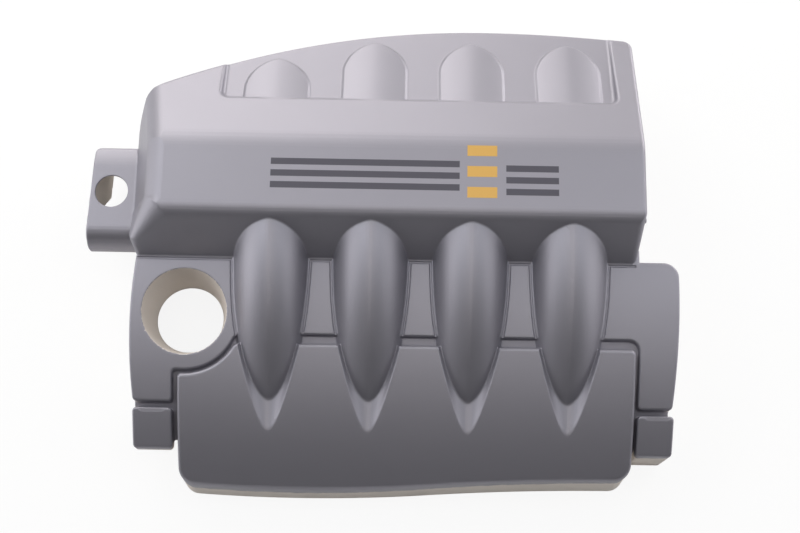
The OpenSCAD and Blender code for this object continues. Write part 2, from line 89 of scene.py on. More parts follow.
class CoverHousing(bpy.types.PropertyGroup):
    """Upper housing with its rear recess and humps, in millimetres."""

    deck_z: mm("Deck height", 130.0, "Height of the flat top")
    left: mm("Left face", 250.0, "Left face at its foot")
    deck_left: mm("Deck left edge", 229.0, "Left edge of the flat top")
    left_turn: mm("Left face turn", 7.0, "How far the left face turns in towards the front slope")
    left_turn_y: mm("Left turn start", 218.0, "Where the left face starts to turn in")
    left_turn_run: mm("Left turn length", 20.0, "Length over which the left face turns in")
    lean_out: mm("Lean bulge", 7.0, "How far the leaning face stands out by the front slope")
    lean_out_y: mm("Lean bulge start", 240.0, "Where the leaning face starts to stand out")
    lean_out_run: mm("Lean bulge length", 35.0, "Length over which the leaning face comes out")
    lean_z: mm("Lean height", 78.0, "Height at which the left face starts to lean in")
    right: mm("Right face", 187.5, "Right face")
    right_turn: mm("Right face turn", 2.2, "How far the right face turns in towards the front slope")
    right_turn_y: mm("Right turn start", 232.0, "Where the right face starts to turn in")
    right_turn_run: mm("Right turn length", 30.0, "Length over which the right face turns in")
    slope_y: mm("Slope foot", 197.5, "Foot of the front slope")
    slope_z: mm("Slope foot height", 90.0, "Height of the foot of the front slope")
    slope_angle: deg("Front slope", 53.0, "Steepness of the front slope")
    reach: mm("Housing reach", 40.0, "How far the housing runs on under the apron, from the slope's foot")
    ridge_r: mm("Ridge radius", 16.0, "Radius of the ridge over the front slope")
    cone_low_r: mm("Left cone, low", 4.0, "Radius at the foot of the edge between slope and left face")
    cone_high_r: mm("Left cone, high", 22.0, "Radius of the same edge under the flat top")
    cone_z: mm("Left cone height", 97.0, "Height at which that radius starts to grow")
    cone_run: mm("Left cone length", 30.0, "Height over which that radius grows")
    side_r: mm("Left edge radius", 12.0, "Radius of the left edge of the flat top")
    right_r: mm("Right edge radius", 4.0, "Radius of the right edge of the flat top")
    right_front_r: mm("Right front radius", 6.0, "Radius of the edge between slope and right face")
    rear_edge_r: mm("Rear edge radius", 3.5, "Radius of the edge along the rear outline")
    rear_slope_y: mm("Rear slope start", 291.0, "Where the flat top and the rear slope meet")
    rear_angle: deg("Rear slope", 23.0, "Steepness of the rear slope")
    rear_blend_r: mm("Rear blend", 45.0, "Blend between the flat top and the rear slope")
    back_y: mm("Back line", 414.5, "Rearmost line")
    back_left_arc: mm("Back left arc", 640.0, "Radius of the left part of the rear outline")
    back_right_arc: mm("Back right arc", 1070.0, "Radius of the right part of the rear outline")
    back_mid_x: mm("Back middle", 55.0, "Where the rear outline is furthest back")
    back_left_r: mm("Back left radius", 45.0, "Radius of the rear left corner")
    back_right_r: mm("Back right radius", 9.0, "Radius of the rear right corner")
    nub_r: mm("Nub", 3.2, "Radius of the small nub on the right face")
    nub_out: mm("Nub height", 2.0, "How far the nub stands out")
    nub_y: mm("Nub Y", 230.0, "Place of the nub, from the front edge")
    nub_z: mm("Nub Z", 112.0, "Height of the nub")
    recess_len: mm("Recess length", 81.0, "From the front edge of the recess to the rearmost line")
    recess_left: mm("Recess left", 176.0, "Left end of the recess")
    recess_right: mm("Recess right", 169.5, "Right end of the recess")
    recess_deep: mm("Recess depth", 6.5, "Depth of the recess at its front edge")
    recess_end_deep: mm("Recess end depth", 2.0, "Depth of the recess at the rear outline")
    recess_r: mm("Recess corner", 8.0, "Corner radius of the recess")
    recess_floor_r: mm("Recess floor radius", 2.0, "Hollow radius round the floor of the recess")
    recess_edge_r: mm("Recess edge radius", 1.6, "Edge radius of the recess")
    recess_draft: deg("Recess draft", 25.0, "Draft of the walls of the recess")
    hump_half: mm("Hump half width", 29.0, "Half width of a hump")
    hump_lead: mm("Hump lead", 20.0, "How far a hump starts ahead of the recess, under the surface")
    hump_r: mm("Hump flank radius", 150.0, "Radius of one flank of a hump")
    hump_crease: mm("Hump crease", 10.0, "Offset of the flank radius past the middle")
    hump_soft: mm("Hump softness", 5.477, "Half width of the soft crease on a hump")
    hump_angle: deg("Hump slope", 20.4, "Slope of the crest of a hump")
    hump_gap: mm("Hump gap", 16.0, "Tips of the three long humps from the rearmost line")
    hump_short_gap: mm("Short hump gap", 36.0, "Tip of the short left hump from the rearmost line")
    hump_edge_r: mm("Hump edge radius", 2.6, "Radius between the flanks and the sides of a hump")
    hump_foot_r: mm("Hump foot radius", 1.2, "Hollow radius round the foot of a hump")
    hump_nose_r: mm("Hump nose radius", 36.0, "Radius of the pointed end in plan")
    hump_nose: mm("Hump nose length", 29.0, "Length of the pointed end")


class CoverApron(bpy.types.PropertyGroup):
    """Apron, front panel, runners, wings, tabs and filler opening, in millimetres."""

    pitch: mm("Runner pitch", 85.0, "Distance between two runners")
    runner_r: mm("Runner flank radius", 38.5, "Radius of one flank of a runner")
    runner_crease: mm("Runner crease", 6.1, "Offset of the flank radius past the middle")
    runner_soft: mm("Runner softness", 2.236, "Half width of the soft crease on a runner")
    crest_y: mm("Crest start", 222.5, "Where the crest leaves the front slope")
    crest_z: mm("Crest height", 124.0, "Height of the crest there")
    crest_angle: deg("Crest slope", 2.9, "Slope of the crest there")
    crest_r: mm("Crest radius", 225.0, "Radius of the crest line seen from the side")
    apron_r: mm("Apron radius", 390.0, "Radius of the apron seen from the side")
    apron_y: mm("Apron crown", 218.0, "Place of the crown of the apron's arc")
    apron_z: mm("Apron crown height", 90.5, "Height of the crown of the apron's arc")
    ditch_r: mm("Ditch radius", 322.0, "Radius of the floor of the ditch")
    ditch_z: mm("Ditch crown height", 88.0, "Height of the crown of the ditch floor")
    ditch_y: mm("Ditch rear edge", 132.5, "Rear edge of the ditch")
    ditch_corner: mm("Ditch corner", 9.0, "Radius of the inner corners of the ditch")
    groove_ledge: mm("Groove ledge", 2.2, "From a foot line to the middle of the fine groove")
    groove_r: mm("Groove radius", 1.05, "Radius of the fine groove's round bottom")
    groove_over: mm("Groove overrun", 6.0, "How far the groove runs on past the ditch's rear edge")
    groove_end: mm("Groove end", 3.0, "From the groove's right end to the right face")
    wing_left: mm("Left wing", 246.6, "Left edge of the left wing, where it is widest")
    wing_left_y: mm("Left wing Y", 135.0, "Where the left wing is widest")
    wing_left_r: mm("Left wing radius", 520.0, "Radius of the left edge in plan")
    wing_left_in: mm("Left wing inside", 209.8, "Inner edge of the left wing")
    wing_right: mm("Right wing", 221.4, "Right edge of the right wing, where it is widest")
    wing_right_y: mm("Right wing Y", 165.0, "Where the right wing is widest")
    wing_right_r: mm("Right wing radius", 900.0, "Radius of the right edge in plan")
    wing_right_in: mm("Right wing inside", 187.4, "Inner edge of the right wing")
    wing_back: mm("Wing rear edge", 1.5, "Rear edge of the right wing, behind the slope foot")
    wing_y: mm("Wing front", 76.0, "Front edge of both wings")
    wing_corner: mm("Wing corner", 12.5, "Rear corner radius of the right wing")
    tab_gap: mm("Tab gap", 5.0, "Gap between a wing and its tab")
    tab_y: mm("Tab front", 37.5, "Front edge of both tabs")
    tab_left: mm("Left tab", 243.5, "Left edge of the left tab")
    tab_right: mm("Right tab", 218.6, "Right edge of the right tab")
    tab_rise: mm("Tab rise", 1.5, "Height of the tabs over the apron")
    tab_skirt: mm("Tab skirt", 10.0, "Depth of the left tab's skirt, at its front")
    tab_draft: deg("Tab draft", 4.0, "Draft of the tabs' front skirts")
    tab_draft_z: mm("Tab draft height", 45.0, "Height below which the tabs' front skirts are drafted")
    tab_corner: mm("Tab corner", 3.5, "Corner radius of the tabs in plan")
    tab_edge_r: mm("Tab edge radius", 2.2, "Edge radius on top of a tab")
    neck_in: mm("Right neck inset", 3.0, "How far the neck between right wing and tab is set in")
    neck_left_in: mm("Left neck inset", 0.4, "How far the left neck is set in")
    land_join_r: mm("Land join radius", 5.0, "Hollow radius where the filler's land meets the flats")
    flat_edge_r: mm("Flat edge radius", 2.0, "Edge radius of the flats, the wings and the ditch floor")
    flat_foot_r: mm("Flat foot radius", 1.2, "Hollow radius at the foot of the flats")
    panel_rise: mm("Panel rise", 4.0, "Height of the panel over the apron")
    panel_left: mm("Panel left", 204.8, "Left edge of the panel")
    panel_right: mm("Panel right", 184.2, "Right edge of the panel")
    panel_y: mm("Panel rear", 124.8, "Rear edge of the panel")
    floor_y: mm("Ditch floor front", 24.0, "Front end of the ditch floor, hidden under the panel")
    belly_r: mm("Belly radius", 1500.0, "Radius of the convex left part of the front edge")
    belly_x: mm("Belly middle", -105.0, "Where the belly is furthest forward")
    waist_x: mm("Waist", 185.0, "Where the hollow right part of the front edge lies furthest back")
    waist_in: mm("Waist depth", 11.0, "How far the front edge lies back there")
    panel_edge_r: mm("Panel edge radius", 3.2, "Edge radius on top of the panel")
    panel_corner: mm("Panel corner", 14.0, "Radius of the panel's front corners")
    panel_rear_corner: mm("Panel rear corner", 5.0, "Radius of the panel's rear corner")
    panel_clear_r: mm("Panel clearance corner", 4.0, "Corner where the panel clears the filler's land")
    front_draft: deg("Front draft", 10.0, "Draft of the front skirt")
    draft_z: mm("Draft height", 33.0, "Height up to which the front skirt is drafted")
    draft_y: mm("Draft reach", 50.0, "Where the draft of the front skirt starts to fade in")
    draft_run: mm("Draft fade", 20.0, "Length over which that draft fades in")
    notch_y: mm("Notch tip", 54.0, "Front end of the notches")
    notch_angle: deg("Notch slope", 8.0, "Slope of the notch floor")
    notch_r: mm("Notch radius", 8.8, "Radius of the notch at its front end")
    cone_angle: deg("Notch cone", 16.5, "Half angle of the notch's cone")
    filler_x: mm("Filler X", -200.1, "Middle of the filler opening")
    filler_y: mm("Filler Y", 149.5, "Middle of the filler opening")
    filler_rim_r: mm("Filler rim", 36.3, "Radius of the filler rim")
    filler_bore_r: mm("Filler bore", 29.2, "Radius of the filler bore")
    filler_low_z: mm("Collar end", 45.0, "Height of the lower end of the collar")
    filler_bore_h: mm("Bore length", 6.0, "Length of the straight bore")
    filler_land: mm("Filler land", 11.0, "Width of the land round the opening")


class CoverSide(bpy.types.PropertyGroup):
    """Side lug, sockets and ribs, in millimetres."""

    wall: mm("Wall", 2.5, "Wall of the moulding")
    lug_left: mm("Lug left", 289.0, "Left end of the lug")
    lug_front: mm("Lug front", 208.0, "Front foot of the lug")
    lug_back: mm("Lug back", 298.3, "Rear foot of the lug")
    lug_z: mm("Lug height", 80.0, "Height of the lug")
    lug_chamfer: deg("Lug front chamfer", 36.87, "Lean of the lug's front chamfer")
    lug_chamfer_h: mm("Lug chamfer height", 14.0, "Height of the lug's front chamfer")
    lug_rear_chamfer: deg("Lug rear chamfer", 66.5, "Lean of the lug's rear chamfer")
    lug_rear_run: mm("Lug rear chamfer length", 9.0, "Length of the lug's rear chamfer")
    lug_slant: deg("Lug slant", 2.29, "Slant of the lug's left edge")
    lug_bend_r: mm("Lug bend", 6.0, "Radius between the lug's top and its front chamfer")
    lug_foot_r: mm("Lug lower bend", 4.0, "Radius under the front chamfer and over the rear one")
    lug_rear_r: mm("Lug rear bend", 3.0, "Radius under the rear chamfer")
    lug_edge_r: mm("Lug edge", 1.8, "Edge radius along the lug's left edge")
    lug_corner: mm("Lug corner", 6.5, "Radius of the lug's rear left corner")
    lug_skirt: mm("Lug skirt", 66.0, "Depth of the lug's rear skirt")
    lug_front_skirt: mm("Lug front skirt", 24.0, "Depth of the lug's front skirt")
    lug_cut_y: mm("Lug cut", 62.0, "From the front foot to the low end of the slanting cut")
    lug_cut_run: mm("Lug cut length", 28.0, "Length of the slanting cut between the two skirts")
    lug_hole_r: mm("Lug hole", 14.2, "Radius of the hole in the lug")
    lug_hole_in: mm("Lug hole X", 18.6, "Hole from the left end of the lug")
    lug_hole_y: mm("Lug hole Y", 257.0, "Middle of the hole")
    lug_hole_deep: mm("Lug hole depth", 20.0, "Depth to which the hole is cut from the lug's top")
    socket_r: mm("Socket", 10.0, "Radius of a grommet socket")
    socket_deep: mm("Socket depth", 14.0, "Depth of a grommet socket")
    socket_wall: mm("Socket wall", 3.0, "Wall of a grommet socket")
    rib_t: mm("Rib", 2.0, "Thickness of the stiffening ribs")
    rib_h: mm("Rib height", 16.0, "Height of the cross rib under the flat top")
    rib_over: mm("Rib over socket", 12.0, "From a rear socket's roof up to its rib's lower edge")
    rib_low_z: mm("Low rib", 30.0, "Lower edge of the rib between the front sockets")
    rib_front_z: mm("Front rib, front", 12.0, "Lower edge of the ribs over the front sockets, in front")
    rib_back_z: mm("Front rib, rear", 58.0, "Lower edge of the same ribs at the ditch")


class CoverInk(bpy.types.PropertyGroup):
    """Plain printed bars on the flat top, in millimetres."""

    sink: mm("Sink", 0.1, "How deep a bar starts under the surface")
    thick: mm("Thickness", 0.03, "How far a bar stands over the surface")
    row_h: mm("Row height", 5.6, "Height of a dark bar")
    row_gap: mm("Row gap", 4.6, "Gap between two dark bars")
    long_x: mm("Long bar X", -126.9, "Left end of the long dark bars")
    long_w: mm("Long bar width", 158.0, "Width of the long dark bars")
    long_y: mm("Long bar Y", 273.6, "Rear edge of the long dark bars")
    short_x: mm("Short bar X", 70.0, "Left end of the short dark bars")
    short_w: mm("Short bar width", 44.0, "Width of the short dark bars")
    short_y: mm("Short bar Y", 270.5, "Rear edge of the short dark bars")
    amber_x: mm("Amber bar X", 37.5, "Left end of the amber bars")
    amber_w: mm("Amber bar width", 25.0, "Width of the amber bars")
    amber_y: mm("Amber bar Y", 287.6, "Rear edge of the amber bars")
    amber_h: mm("Amber bar height", 9.4, "Height of an amber bar")
    amber_gap: mm("Amber bar gap", 8.8, "Gap between two amber bars")
    dark: color("Dark ink", (0.066, 0.062, 0.082), "Colour of the dark bars")
    amber: color("Amber ink", (0.62, 0.36, 0.085), "Colour of the amber bars")


class CoverFinish(bpy.types.PropertyGroup):
    """Paint, bare plastic and rubber; lengths in millimetres."""

    paint: color("Paint", (0.31, 0.30, 0.34), "Colour of the satin paint")
    # Bare plastic: its own beige, lightened past it to stand in for bounce light from below, a painted light
    bare: color("Bare plastic", (0.80, 0.73, 0.67), "Colour of the plastic under the paint")
    rubber: color("Rubber", (0.02, 0.02, 0.021), "Colour of the grommets")
    paint_rough: share("Paint roughness", 0.49, "Roughness of the paint")
    bare_rough: share("Plastic roughness", 0.62, "Roughness of the bare plastic")
    paint_metal: share("Paint metal", 0.65, "How metallic the paint is")
    edge: mm("Paint edge", 4.0, "Depth under the apron's skin at which the paint starts to thin out")
    fade: mm("Paint fade", 4.0, "Depth over which the paint thins out")
    house_depth: mm("Housing paint", 45.0, "How much deeper the paint reaches on the housing")
    # The ditch's walls keep the grey paint, darker than bare plastic, as painted shade in the deep ditch
    ditch_shade_in: mm("Ditch paint", 4.2, "How far inside the tabs' outer faces the ditch's walls are painted")
    cloud: mm("Paint edge cloud", 6.0, "How far the paint's lower edge wanders")


class CoverStudio(bpy.types.PropertyGroup):
    """Floor, room and camera; the camera's place is in millimetres."""

    floor_white: share("Floor white", 0.9, "Whiteness of the floor")
    floor_glow: share("Floor glow", 0.88, "Share of plain white in the floor, for the camera alone")
    room: share("Room light", 0.02, "Strength of the room's light")
    lens: mm("Lens", 55.35, "Focal length of the camera")
    view_x: mm("Camera X", -17.3, "Place of the camera, from the middle of the runner row")
    view_y: mm("Camera Y", -53.4, "Place of the camera, from the front edge")
    view_z: mm("Camera height", 1109.9, "Height of the camera")
    tilt: deg("Camera tilt", 13.5, "Tilt of the camera from straight down")
    roll: deg("Camera roll", 1.05, "Roll of the camera")


# Grommet sockets: X and Y of the middle and Z of the lower edge, in millimetres
SOCKETS = {
    "grommet_rear_left": (-165.0, 262.0, 62.0),
    "grommet_rear_right": (135.0, 262.0, 62.0),
    "grommet_front_left": (-172.0, 48.0, 14.0),
    "grommet_front_right": (158.0, 48.0, 14.0),
}


def join(a, b, r):
    """Union of two distance fields with a hollow fillet."""
    return np.maximum(r, np.minimum(a, b)) - np.hypot(np.maximum(r - a, 0), np.maximum(r - b, 0))


def meet(a, b, r):
    """Intersection of two distance fields with a rounded edge."""
    return np.minimum(-r, np.maximum(a, b)) + np.hypot(np.maximum(a + r, 0), np.maximum(b + r, 0))


def corner(field, u, v, c, r, a0, a1):
    """Rounds a corner: between the angles a0 and a1 round c, the edge is a circle of radius r."""
    du, dv = u - c[0], v - c[1]
    within = (du * -sin(a0) + dv * cos(a0) >= 0) & (du * sin(a1) - dv * cos(a1) >= 0)
    return np.where(within, np.hypot(du, dv) - r, field)


def slab(u, v, u0, u1, v0, v1, r):
    """Signed distance to a rectangle with corner radius r."""
    qu = np.abs(u - (u0 + u1) / 2) - (u1 - u0) / 2 + r
    qv = np.abs(v - (v0 + v1) / 2) - (v1 - v0) / 2 + r
    outside = np.hypot(np.maximum(qu, 0), np.maximum(qv, 0))
    return outside + np.minimum(np.maximum(qu, qv), 0) - r


def round_bar(u, v, cu, cv, r):
    """Signed distance to a circle, or to a round bar along the third axis."""
    return np.hypot(u - cu, v - cv) - r


def grow(value, length):
    """From 0 to 1 while the value runs from 0 to the length."""
    return np.clip(value / length, 0, 1)


class Cover:
    """Distance field of the whole moulding, in millimetres from the middle of the runner row."""

    def __init__(self, scene):
        """Takes the sizes from the scene and works out the lines that several forms share."""
        self.h = scene.cover_housing
        self.a = scene.cover_apron
        self.s = scene.cover_side
        self.runner_x = [i * self.a.pitch for i in (-1.5, -0.5, 0.5, 1.5)]
        self.recess_y = self.h.back_y - self.h.recess_len
        self.runner_h = math.sqrt(self.a.runner_r**2 - self.a.runner_crease**2)
        self.crest_c = (
            self.a.crest_y + self.a.crest_r * sin(self.a.crest_angle),
            self.a.crest_z - self.a.crest_r * cos(self.a.crest_angle),
        )

    def from_runner(self, x):
        """Distance across from the nearest runner."""
        return np.abs(np.abs(x) - self.a.pitch) - self.a.pitch / 2

    def apron_height(self, y, rise=0):
        """Height of the apron, or of what stands over it by rise."""
        a = self.a
        return a.apron_z - a.apron_r + np.sqrt((a.apron_r + rise) ** 2 - (a.apron_y - y) ** 2)

    def rear_z(self, y):
        """Height of the rear slope."""
        return self.h.deck_z - (y - self.h.rear_slope_y) * tan(self.h.rear_angle)

    def house_plan(self, x, y):
        """Outline of the housing: two rear arcs, with a wide left and a tight right corner."""
        h = self.h
        left_r, left_in = h.back_left_arc - h.back_left_r, h.back_mid_x + h.left - h.back_left_r
        right_r, right_in = h.back_right_arc - h.back_right_r, h.right - h.back_right_r - h.back_mid_x
        left_y, right_y = h.back_y - h.back_left_arc, h.back_y - h.back_right_arc
        rear = np.where(
            x < h.back_mid_x,
            round_bar(x, y, h.back_mid_x, left_y, h.back_left_arc),
            round_bar(x, y, h.back_mid_x, right_y, h.back_right_arc),
        )
        body = np.maximum(rear, np.maximum(-x - h.left, x - h.right))
        c = (h.back_mid_x - left_in, left_y + math.sqrt(left_r**2 - left_in**2))
        body = corner(body, x, y, c, h.back_left_r, QUARTER + math.asin(left_in / left_r), 2 * QUARTER)
        c = (h.back_mid_x + right_in, right_y + math.sqrt(right_r**2 - right_in**2))
        body = corner(body, x, y, c, h.back_right_r, 0, QUARTER - math.asin(right_in / right_r))
        return np.maximum(body, h.slope_y - h.reach - y)

    def front_slope(self, y, z):
        """Distance over the plane of the front slope."""
        h = self.h
        return (h.slope_y - y) * sin(h.slope_angle) + (z - h.slope_z) * cos(h.slope_angle)

    def house_side(self, y, z):
        """Side view: front slope, flat top and rear slope with rounded ridges."""
        h = self.h
        rear = (z - self.rear_z(y)) * cos(h.rear_angle)
        body = np.maximum(np.maximum(self.front_slope(y, z), z - h.deck_z), rear)
        ridge_y = h.slope_y + (h.deck_z - h.slope_z) / tan(h.slope_angle)
        ridge_y = ridge_y + h.ridge_r * tan(h.slope_angle / 2)
        ridge = (ridge_y, h.deck_z - h.ridge_r)
        body = corner(body, y, z, ridge, h.ridge_r, QUARTER, QUARTER + h.slope_angle)
        blend_y = h.rear_slope_y - h.rear_blend_r * tan(h.rear_angle / 2)
        blend = (blend_y, h.deck_z - h.rear_blend_r)
        return corner(body, y, z, blend, h.rear_blend_r, QUARTER - h.rear_angle, QUARTER)

    def recess(self, x, y, z):
        """Hollow over the floor of the rear recess."""
        h = self.h
        floor_z = self.rear_z(self.recess_y) - h.recess_deep
        end_z = self.rear_z(h.back_y) - h.recess_end_deep
        fall = math.atan2(floor_z - end_z, h.back_y - self.recess_y)
        over = (z - floor_z) * cos(fall) + (y - self.recess_y) * sin(fall)
        behind = h.back_y + h.recess_len
        plan = slab(x, y, -h.recess_left, h.recess_right, self.recess_y, behind, h.recess_r)
        wall = (plan - (over - h.recess_deep) * tan(h.recess_draft)) * cos(h.recess_draft)
        return meet(wall, -over, h.recess_floor_r)

    def hump(self, x, y, z, tip_y):
        """One hump of the recess, drawn round x = 0."""
        h = self.h
        half = h.hump_half
        chord = math.hypot(half, h.hump_nose) / 2
        reach = math.sqrt(h.hump_nose_r**2 - chord**2) / (2 * chord)
        cx = half / 2 - reach * h.hump_nose
        cy = tip_y - h.hump_nose / 2 - reach * half
        side = np.abs(x)
        nose = round_bar(side, y, cx, cy, h.hump_nose_r)
        plan = np.maximum(side - half, np.where(y > cy, nose, -2 * half))
        plan = np.maximum(plan, self.recess_y - h.hump_lead - y)
        rise = math.sqrt(h.hump_r**2 - h.hump_crease**2)
        over = (y - self.recess_y) * sin(h.hump_angle)
        over = (z - self.rear_z(self.recess_y)) * cos(h.hump_angle) + over
        flank = np.hypot(np.hypot(x, h.hump_soft) + h.hump_crease, over + rise) - h.hump_r
        return meet(plan, flank, h.hump_edge_r)

    def housing(self, x, y, z):
        """Housing with turned-in faces, the nub, the recess and its four humps."""
        h = self.h
        plan = self.house_plan(x, y)
        body = meet(self.house_side(y, z), plan, h.rear_edge_r)
        rise = h.deck_z - h.lean_z
        run = h.left - h.deck_left
        length = math.hypot(rise, run)
        lean = (-(x + h.left) * rise + (z - h.lean_z) * run) / length
        lean = lean - h.lean_out * grow(h.lean_out_y - y, h.lean_out_run)
        left = -x - h.left + h.left_turn * grow(h.left_turn_y - y, h.left_turn_run)
        body = np.maximum(body, left)
        top = np.maximum(z - h.deck_z, (z - self.rear_z(y)) * cos(h.rear_angle))
        body = np.maximum(body, meet(top, lean, h.side_r))
        side = np.maximum(lean, left)
        soft = h.cone_low_r + (h.cone_high_r - h.cone_low_r) * grow(z - h.cone_z, h.cone_run)
        body = np.maximum(body, meet(self.front_slope(y, z), side, soft))
        end = x - h.right + h.right_turn * grow(h.right_turn_y - y, h.right_turn_run)
        body = np.maximum(body, meet(self.front_slope(y, z), end, h.right_front_r))
        body = np.maximum(body, meet(z - h.deck_z, x - h.right, h.right_r))
        nub = round_bar(y, z, h.nub_y, h.nub_z, h.nub_r - np.maximum(x - h.right, 0) / 2)
        nub = np.maximum(nub, np.abs(x - h.right) - h.nub_out)
        body = join(body, nub, 0.4)
        body = meet(body, -self.recess(x, y, z), h.recess_edge_r)
        for i, rx in enumerate(self.runner_x):
            tip_y = h.back_y - (h.hump_short_gap if i == 0 else h.hump_gap)
            hump = meet(self.hump(x - rx, y, z, tip_y), plan + 1.0, 1.0)
            body = join(body, hump, h.hump_foot_r)
        return body

    def apron_arc(self, y, z, crown_z, r):
        """Distance over an arc of the apron, seen from the side."""
        return round_bar(y, z, self.a.apron_y, crown_z - r, r)

    def runner(self, x, y, z):
        """All four runners: two flanks that meet in a soft crease, along the crest line."""
        a = self.a
        spring = np.hypot(y - self.crest_c[0], z - self.crest_c[1]) - (a.crest_r - self.runner_h)
        side = np.hypot(self.from_runner(x), a.runner_soft)
        bar = np.hypot(side + a.runner_crease, np.maximum(spring, 0)) - a.runner_r
        return np.maximum(bar, y - self.crest_c[0])

    def notch(self, x, y, z):
        """Cones that cut the notches in front of the runners."""
        a = self.a
        tilt = a.notch_angle + a.cone_angle
        top = self.apron_height(a.notch_y, a.panel_rise)
        along = (y - a.notch_y) * cos(tilt) + (z - top) * sin(tilt)
        across = -(y - a.notch_y) * sin(tilt) + (z - top) * cos(tilt) - a.notch_r
        radius = a.notch_r + along * tan(a.cone_angle)
        return (np.hypot(self.from_runner(x), across) - radius) * cos(a.cone_angle)

    def panel_plan(self, x, y):
        """Outline of the front panel: a convex and a hollow arc meet in its front edge."""
        a = self.a
        r = a.panel_corner
        waist_r = ((a.waist_x - a.belly_x) ** 2 + a.waist_in**2) / (2 * a.waist_in) - a.belly_r
        waist_y = a.waist_in - waist_r
        turn_x = a.belly_x + (a.waist_x - a.belly_x) * a.belly_r / (a.belly_r + waist_r)
        front = np.where(
            x < turn_x,
            round_bar(x, y, a.belly_x, a.belly_r, a.belly_r),
            -round_bar(x, y, a.waist_x, waist_y, waist_r),
        )
        body = np.maximum(front, slab(x, y, -a.panel_left, a.panel_right, -a.panel_y, a.panel_y, 0))
        left_in = a.belly_x + a.panel_left - r
        left_y = a.belly_r - math.sqrt((a.belly_r - r) ** 2 - left_in**2)
        turn = 3 * QUARTER - math.asin(left_in / (a.belly_r - r))
        body = corner(body, x, y, (r - a.panel_left, left_y), r, 2 * QUARTER, turn)
        right_in = a.waist_x - a.panel_right + r
        right_y = waist_y + math.sqrt((waist_r + r) ** 2 - right_in**2)
        turn = 3 * QUARTER + math.asin(right_in / (waist_r + r))
        body = corner(body, x, y, (a.panel_right - r, right_y), r, turn, 4 * QUARTER)
        r = a.panel_rear_corner
        body = corner(body, x, y, (a.panel_right - r, a.panel_y - r), r, 0, QUARTER)
        gap = a.wing_right_in - a.panel_right
        clear = round_bar(x, y, a.filler_x, a.filler_y, a.filler_rim_r + a.filler_land + gap)
        return meet(body, -clear, a.panel_clear_r)

    def flats_plan(self, x, y):
        """Outline of the flats and wings, between the curved outer edges of the wings."""
        a = self.a
        h = self.h
        over, lap, under_house = 5, 30, 12
        plan = slab(x, y, -a.wing_left - over, h.right, a.ditch_y, h.slope_y + under_house, 0.5)
        left = round_bar(x, y, a.wing_left_r - a.wing_left, a.wing_left_y, a.wing_left_r)
        right = round_bar(x, y, a.wing_right - a.wing_right_r, a.wing_right_y, a.wing_right_r)
        rear = h.slope_y + a.wing_back
        wing = slab(x, y, h.right - 2 * lap, a.wing_right + lap, a.ditch_y - lap, rear, 0.5)
        wing = meet(wing, right, a.wing_corner)
        plan = np.minimum(plan, np.maximum(wing, a.ditch_y - y))
        rear = a.ditch_y + 4 * over
        wing = slab(x, y, -a.wing_left - over, -a.wing_left_in, a.wing_y, rear, a.tab_corner)
        plan = np.minimum(plan, meet(wing, left, a.tab_corner))
        wing = slab(x, y, a.wing_right_in, a.wing_right + over, a.wing_y, rear, a.tab_corner)
        plan = join(plan, meet(wing, right, a.tab_corner), a.ditch_corner)
        land = round_bar(x, y, a.filler_x, a.filler_y, a.filler_rim_r + a.filler_land)
        plan = join(plan, land, a.land_join_r)
        return np.maximum(np.maximum(plan, left), right)

    def apron(self, x, y, z):
        """Ditch floor, front panel with its notches, flats with their wings, and the two tabs."""
        a = self.a
        tuck, foot_y = 4, self.h.slope_y
        left, right = a.panel_left - tuck / 2, a.panel_right - tuck / 2
        floor = self.apron_arc(y, z, a.ditch_z, a.ditch_r)
        neck_left, neck_right = a.neck_left_in - a.tab_left, a.tab_right - a.neck_in
        plan = slab(x, y, neck_left, neck_right, a.tab_y + tuck, foot_y - tuck, 1)
        under = slab(x, y, -left, right, a.floor_y, foot_y + 2 * tuck, 1)
        body = meet(np.minimum(plan, under), floor, a.flat_edge_r)
        skin = self.apron_arc(y, z, a.apron_z, a.apron_r)
        lean = grow(a.draft_y - y, a.draft_run) * np.clip(z, 0, a.draft_z) * tan(a.front_draft)
        panel = self.panel_plan(x, y - lean)
        body = join(body, meet(panel, skin - a.panel_rise, a.panel_edge_r), 0.5)
        body = meet(body, -self.notch(x, y, z), 0.6)
        body = join(body, meet(self.flats_plan(x, y), skin, a.flat_edge_r), a.flat_foot_r)
        low = np.clip(a.tab_draft_z - z, 0, a.tab_draft_z)
        lean = grow(a.tab_y + a.draft_run - y, a.draft_run / 2) * low
        for x0, x1 in ((-a.tab_left, -a.wing_left_in), (a.wing_right_in, a.tab_right)):
            front = y + lean * tan(a.tab_draft)
            tab = slab(x, front, x0, x1, a.tab_y, a.wing_y - a.tab_gap, a.tab_corner)
            body = join(body, meet(tab, skin - a.tab_rise, a.tab_edge_r), 1.0)
        return body

    def foot_half(self, y):
        """Half width of a runner where it meets the apron."""
        a = self.a
        drop = self.crest_c[0] - y
        crest = self.crest_c[1] + np.sqrt(np.maximum(a.crest_r**2 - drop**2, 0))
        deep = (crest - self.apron_height(y)) * np.sqrt(np.maximum(1 - (drop / a.crest_r) ** 2, 0))
        return np.sqrt(a.runner_r**2 - np.clip(self.runner_h - deep, 0, a.runner_r) ** 2) - a.runner_crease

    def groove(self, x, y, z):
        """Fine groove along the foot lines of the slope and the runners."""
        a = self.a
        beside = np.abs(self.from_runner(x)) - self.foot_half(y) - a.groove_ledge
        along = self.h.slope_y - a.groove_ledge - y
        deep = self.apron_arc(y, z, a.apron_z, a.apron_r)
        tube = np.hypot(np.minimum(beside, along), deep) - a.groove_r
        return np.maximum(np.maximum(tube, a.ditch_y - a.groove_over - y), x - self.h.right + a.groove_end)

